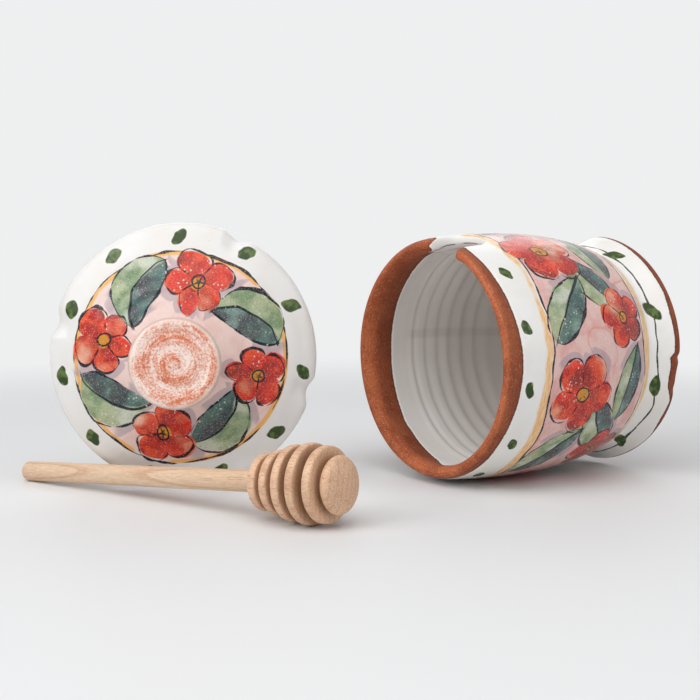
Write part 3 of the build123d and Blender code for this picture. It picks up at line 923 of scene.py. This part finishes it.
lines = mask(abs(r + wander - LID_INK) - (clouds(own, 0.10, 2.0) * 2.2 - 0.9), 0.2, 0.0)
lines = lines * mask(z, 30.0, 20.0)
knob_on = mask(r, *KNOB_SALMON) * mask(z, 26.0, 27.0)
blossoms = flowers(own, r, radius=30.0, count=4, start=0.035, level=29.4, spread=2.4, size=11.5, grow=1.8)
leaves = foliage(
    own, r, radius=31.0, count=4, start=0.155, level=30.7, spread=2.6, length=31.0, width=18.0, turn=0.17
)
dabs = touches(
    own, r, radius=47.6, count=11, start=0.02, level=46.9, spread=1.4, length=7.4, width=4.6, swing=1.6,
    turn=-0.4,
)
painted = decorate(own, ground, [blossoms], [leaves], [dabs], lines, 0.43, knob_on)

# the knob: salmon rubbed thin along the spiral, with beads of glaze and a worn rim
winding = calc("COSINE", ring * (2 * np.pi / COIL_PITCH) - calc("ARCTAN2", y, x))
rub = clouds(own, 0.12, 2.0) * 0.8 + clouds(join(ring * 0.9, x * 0.11, y * 0.11), 1.0, 3.0, 0.65)
rub = winding * 0.11 + (clouds(own, 1.3, 3.0, 0.75) * 1.6 + rub)
salmon = brush(
    (0.97, 0.83, 0.76), ((0.73, 0.21, 0.090), mask(rub, 1.38, 2.00)),
    ((0.46, 0.085, 0.030), mask(rub, 1.86, 2.16) * 0.6),
    ((0.90, 0.76, 0.67), mask(r, 15.2, 16.4) * 0.7),  # the worn rim
    ((0.93, 0.88, 0.84), mask(spots(own, 0.5), 0.26, 0.16) * mask(clouds(own, 0.2), 0.5, 0.6) * 0.8),  # beads
    ((0.36, 0.26, 0.24), mask(abs(r - 16.9), 0.5, 0.15) * 0.4),  # the line round it
)
color = brush(painted["Color"], (salmon, knob_on * mask(z, 33.0, 36.5) * 0.95))
glazed = brush(white["Color"], (color, mask(outside, 0.4, 0.6)))
glaze_on = mask(glazing, -0.12, 0.12)
fire(shader, use(clay, Own=own, Glaze=glazing, Flash=0.0), glazed, glaze_on, white, painted)
lid_turn = spin("Z", 2.2) @ spin("X", 90.0)
lid_marks = {"glaze": (lid_glaze + 0 * turn_at)[::-1], "outside": (on_top + 0 * turn_at)[::-1]}
shell("lid_visual", lid_rows[::-1], LID_AT, lid_turn, lid_marks, lid_paint, "lid", ["lid"])

# ----------------------------------------------------------------------------------------------
# The dipper: a head turned from beech with five rings and a domed button, bored from behind and
# glued on a plain 8 mm dowel whose tail is sanded round.

# sizes in mm from the tail's end: the rings as (place, radius), half a ring's thickness and the
# rounding of its corners, the button as (radius, place), and where the tail's end comes to
DOWEL_R = 4.0
RINGS = ((126.1, 10.4), (132.1, 11.6), (138.8, 13.6), (145.4, 14.4), (151.9, 13.5))
RING_HALF = 1.65
RING_CORNER = 0.5
CORE_R = 7.0
BUTTON_LINE = (
    (7.0, 154.5), (8.8, 155.0), (9.93, 156.1), (10.17, 157.2), (9.78, 158.3), (8.7, 159.2), (6.0, 160.1),
    (2.8, 160.65), (0.5, 160.78),
)
BORE_DEPTH = 15.0
TAIL_ROUND = 1.4
DIPPER_AT = (-134.673, 4.911, 3.892)
HEAD_COLUMNS = 128
DOWEL_COLUMNS = 96

# where the trunk's middle ran, beside the dipper, and how close its years lie
PITH = (-8.0, -24.0, 0)
YEARS_PER_MM = 0.38
YEAR_SHIFT = -0.43

# the dipper lies on its tail and on its widest ring
rest_at, rest_r = RINGS[3]
dipper_tilt = np.degrees(np.arcsin((rest_r - DOWEL_R) / (rest_at - TAIL_ROUND)))
dipper_turn = spin("Z", -33.8) @ spin("Y", 90 - dipper_tilt)


def lathe(line, columns):
    """A line of (radius, length) points carried round the axis: (r cos a, r sin a, length)."""
    a = np.arange(columns) / columns * 2 * np.pi
    r, along = line[:, :1], line[:, 1:] + 0 * a
    return np.stack([r * np.cos(a), r * np.sin(a), along], axis=-1)


# wood: beech with straight fine grain along the piece, small dark flecks and the thin dark lines of
# the trunk's years, which bow along it and cut the surface in long ovals, and painted shade in hollows
wood, (own, light, dark, fleck, figure, hollow) = start_group("wood", "Own Light Dark Fleck Figure Hollow")
across, up, _ = split(stretch(own, turn=(0.008, 0, 0), shift=PITH))
bow = calc("COSINE", split(own)[2] * 0.066 - 0.62)
sway = clouds(stretch(own, (0.12, 0.12, 0.03)), 1.0, 1.0)
years = calc("FRACT", (sway * 1.2 + (bow * 0.9 + far(across, up))) * YEARS_PER_MM + YEAR_SHIFT)
fibre = clouds(stretch(own, (1.7, 1.7, 0.26)), 1.0, 3.0, 0.75)
ticks = spots(stretch(own, (1.6, 1.6, 0.42)), 1.0)
color = brush(
    light, (dark, mask(years, 0.62, 0.92) * mask(years, 1.0, 0.94) * figure),
    (dark, mask(clouds(stretch(own, (1, 1, 0.3)), 0.07, 2.0), 0.42, 0.62) * 0.35),
    ((0.44, 0.22, 0.105), mask(fibre, 0.5, 0.66) * fleck * 0.6),  # dark and light fibres
    ((0.90, 0.70, 0.52), mask(fibre, 0.48, 0.32) * 0.45),
    ((0.40, 0.21, 0.11), mask(ticks, 0.24, 0.1) * fleck * 0.45),  # flecks
    # painted shade down in the grooves between the rings
    ((0.27, 0.125, 0.055), hollow * 0.66),
)
end_group(wood, Color=color, Height=fibre)


def wood_material(name, light, dark, fleck, figure, cracks=()):
    """Sanded, unvarnished beech between two tones, with painted shade down in the grooves and a fine drying
    crack near the head where cracks gives (angle, place across, half width)."""
    material, shader = start_material(name)
    own = mark_of(shader, "own", "Vector")
    hollow = mask(mark_of(shader, "hollow"), 0.15, 4.2)
    grown = use(wood, Own=own, Light=light, Dark=dark, Fleck=fleck, Figure=figure, Hollow=hollow)
    color = grown["Color"]
    for turn, shift, half in cracks:
        sway = clouds(stretch(own, (0.1, 0.1, 0.03)), 1.0, 2.0) - 0.5
        across, _, along = split(stretch(own, turn=(0, 0.006, turn)))
        faint = clouds(stretch(own, (0.1, 0.1, 0.16)), 1.0)
        faint = mask(faint, 0.48, 0.56) * 0.65 * mask(along, 92.0, 104.0)
        off = abs(sway * 3.6 + across - shift)
        color = brush(color, ((0.33, 0.17, 0.08), mask(off, half * 2, half * 0.4) * faint))
    fill(shader, Base_Color=color, Roughness=0.55, Normal=bump(grown["Height"], 0.00012, 0.35))
    return material


# the head's line, from the bore's bottom out over the back, the rings and the button
head_start = RINGS[0][0] - 2.9
bore_end = head_start + BORE_DEPTH
bore_r = DOWEL_R + 0.05
line = [
    np.array([(0.4, bore_end), (bore_r, bore_end), (bore_r, head_start + 0.3), (DOWEL_R + 0.4, head_start)]),
    smooth_curve([(DOWEL_R + 1.2, head_start), (6.8, head_start + 0.15), (8.8, head_start + 0.85)], 8),
]
rounding = np.radians(np.linspace(-88, 88, 17))
out = np.sign(rounding) * (RING_HALF - RING_CORNER) + RING_CORNER * np.sin(rounding)
for crest, ring_r in RINGS:
    wall = ring_r - RING_CORNER
    flank = np.array([(wall - 0.6, RING_HALF), (CORE_R + 0.5, RING_HALF + 0.02), (CORE_R, RING_HALF + 0.1)])
    if crest > RINGS[0][0]:
        line.append(flank[::-1] * (1, -1) + (0, crest))
    line.append(np.column_stack([wall + RING_CORNER * np.cos(rounding) - 0.13 * out**2, crest + out]))
    line.append(flank + (0, crest))
line.append(smooth_curve(BUTTON_LINE, 8))
head_line = evenly(np.vstack(line), 0.32)

# how far each point lies below the crests beside it, which sets the painted shade down in the grooves
crests = np.interp(head_line[:, 1], [at for at, _ in RINGS] + [157.0], [r for _, r in RINGS] + [10.4])
hollow = np.maximum(crests - head_line[:, 0], 0)[:, None] + np.zeros((1, HEAD_COLUMNS))
hollow = np.where(head_line[:, 1:] < 155.0, hollow, 0.8)
head_wood = wood_material("turned_beech_head", (0.79, 0.515, 0.335), (0.54, 0.285, 0.17), 1.0, 0.5)
shell(
    "dipper_head_visual", lathe(head_line, HEAD_COLUMNS), DIPPER_AT, dipper_turn, {"hollow": hollow},
    head_wood, "dipper", ["dipper_head"],
)

# the handle's line: the tail sanded round, the dowel, and its end glued in the bore
tail = np.linspace(0.1, np.pi / 2, 9)
flat_r = DOWEL_R - TAIL_ROUND
handle_line = np.vstack([
    np.column_stack([np.linspace(0.3, flat_r, 6), np.zeros(6)]),
    np.column_stack([flat_r + TAIL_ROUND * np.sin(tail), TAIL_ROUND - TAIL_ROUND * np.cos(tail)]),
    np.column_stack([np.full(60, DOWEL_R), np.linspace(3.0, bore_end - 0.5, 60)]),
    [(2.0, bore_end - 0.3), (0.4, bore_end - 0.3)],
])
handle_wood = wood_material(
    "beech_dowel", (0.76, 0.55, 0.38), (0.60, 0.38, 0.23), 0.4, 0.9,
    cracks=((0.25, 0.4, 0.12), (0.40, 1.6, 0.10)),
)
shell(
    "dipper_handle_visual", lathe(handle_line, DOWEL_COLUMNS), DIPPER_AT, dipper_turn,
    {"hollow": np.zeros((len(handle_line), DOWEL_COLUMNS))}, handle_wood, "dipper", ["dipper_handle"],
)

# ----------------------------------------------------------------------------------------------
# The table: a pale seamless sheet that curves up behind, and soft daylight-coloured lamps.

# sizes in metres from here on: the sheet's line as (radius, height) and where it turns pale, each lamp
# as (name, place, size, power in watts) and the point they aim at, and the camera
PALE = (0.86, 0.865, 0.87)
PALE_BETWEEN = (0.22, 0.62)
SHEET_LINE = ((0.25, 0.0), (0.5, 0.0), (1.0, 0.0), (1.6, 0.0), (2.0, 0.06), (2.25, 0.22), (2.4, 0.5))
SHEET_COLUMNS = 96
LAMPS = (
    ("overhead", (-0.05, -0.46, 0.84), (1.2, 0.9), 7.0),
    ("left_fill", (-0.86, -0.54, 0.62), (0.6, 0.6), 3.8),
    ("right_fill", (0.82, -0.55, 0.5), (0.6, 0.6), 1.1),
    ("back_fill", (0.0, 0.75, 0.65), (0.8, 0.5), 1.4),
)
LAMPS_AIM = (0, 0, 0.04)
CAMERA_AT = (-0.000973, -0.473989, 0.0935)
CAMERA_PITCH = 85.31
LENS = 60.0
FILM = 36.0


def seen_pale(tree):
    """1 where the camera, a gloss or a clear glass looks straight at the surface, else 0."""
    path = tree.nodes.new("ShaderNodeLightPath").outputs
    return most(*[Layer(path[label]) for label in ("Is Camera Ray", "Is Glossy Ray", "Is Transmission Ray")])


def show(output, plain, pale, amount):
    """Sends the plain shader and the pale one to the output, mixed by an amount."""
    both = fresh("MixShader", amount)
    for socket, value in zip(both.inputs, (amount, Layer(plain.outputs[0]), Layer(pale.outputs[0]))):
        put(socket, value)
    fill(output, Surface=Layer(both.outputs[0]))


# the sheet: its line carried round, with a fan of triangles in the middle
bowl = lathe(np.array(SHEET_LINE), SHEET_COLUMNS).reshape(-1, 3)
quads = grid_quads(len(SHEET_LINE), SHEET_COLUMNS)[:, [0, 3, 2, 1]]
ring = np.arange(SHEET_COLUMNS)
middle = np.column_stack([np.full(SHEET_COLUMNS, len(bowl)), ring, (ring + 1) % SHEET_COLUMNS])
sheet_mesh = bpy.data.meshes.new("table_sheet")
sheet_mesh.from_pydata(bowl.tolist() + [(0.0, 0.0, 0.0)], [], quads.tolist() + middle.tolist())
sheet_mesh.shade_smooth()
sheet = new_object("table_sheet", sheet_mesh)
sheet_material, shader = start_material("table_sheet")
fill(shader, Base_Color=(0.80, 0.805, 0.81), Roughness=0.6)
tree = sheet_material.node_tree
glow = fill(tree.nodes.new("ShaderNodeEmission"), Color=PALE)
where = Layer(tree.nodes.new("ShaderNodeTexCoord").outputs["Object"])
length = fresh("VectorMath", where)
length.operation = "LENGTH"
put(length.inputs[0], where)
distant = mask(Layer(length.outputs["Value"]), *PALE_BETWEEN)
show(tree.nodes["Material Output"], shader, glow, distant * seen_pale(tree))
sheet_mesh.materials.append(sheet_material)

for name, place, size, power in LAMPS:
    lamp_data = bpy.data.lights.new(name, "AREA")
    lamp_data.shape = "RECTANGLE"
    lamp_data.size, lamp_data.size_y = size
    lamp_data.energy = power
    lamp = new_object(name, lamp_data)
    lamp.location = place
    back = np.array(place) - LAMPS_AIM
    lamp.rotation_euler = (np.arccos(back[2] / np.linalg.norm(back)), 0, np.arctan2(back[0], -back[1]))

world = bpy.data.worlds.new("studio")
bpy.context.scene.world = world
world.use_nodes = True
tree = world.node_tree
ambient = fill(tree.nodes["Background"], Color=(0.80, 0.81, 0.83), Strength=0.24)
backdrop = fill(tree.nodes.new("ShaderNodeBackground"), Color=PALE)
show(tree.nodes["World Output"], ambient, backdrop, seen_pale(tree))

camera_data = bpy.data.cameras.new("camera")
camera_data.lens = LENS
camera_data.sensor_width = FILM
camera_data.clip_start = 0.01
camera = new_object("camera", camera_data)
camera.location = CAMERA_AT
camera.rotation_euler = (np.radians(CAMERA_PITCH), 0, 0)
bpy.context.scene.camera = camera
bpy.context.scene.view_settings.view_transform = "Standard"
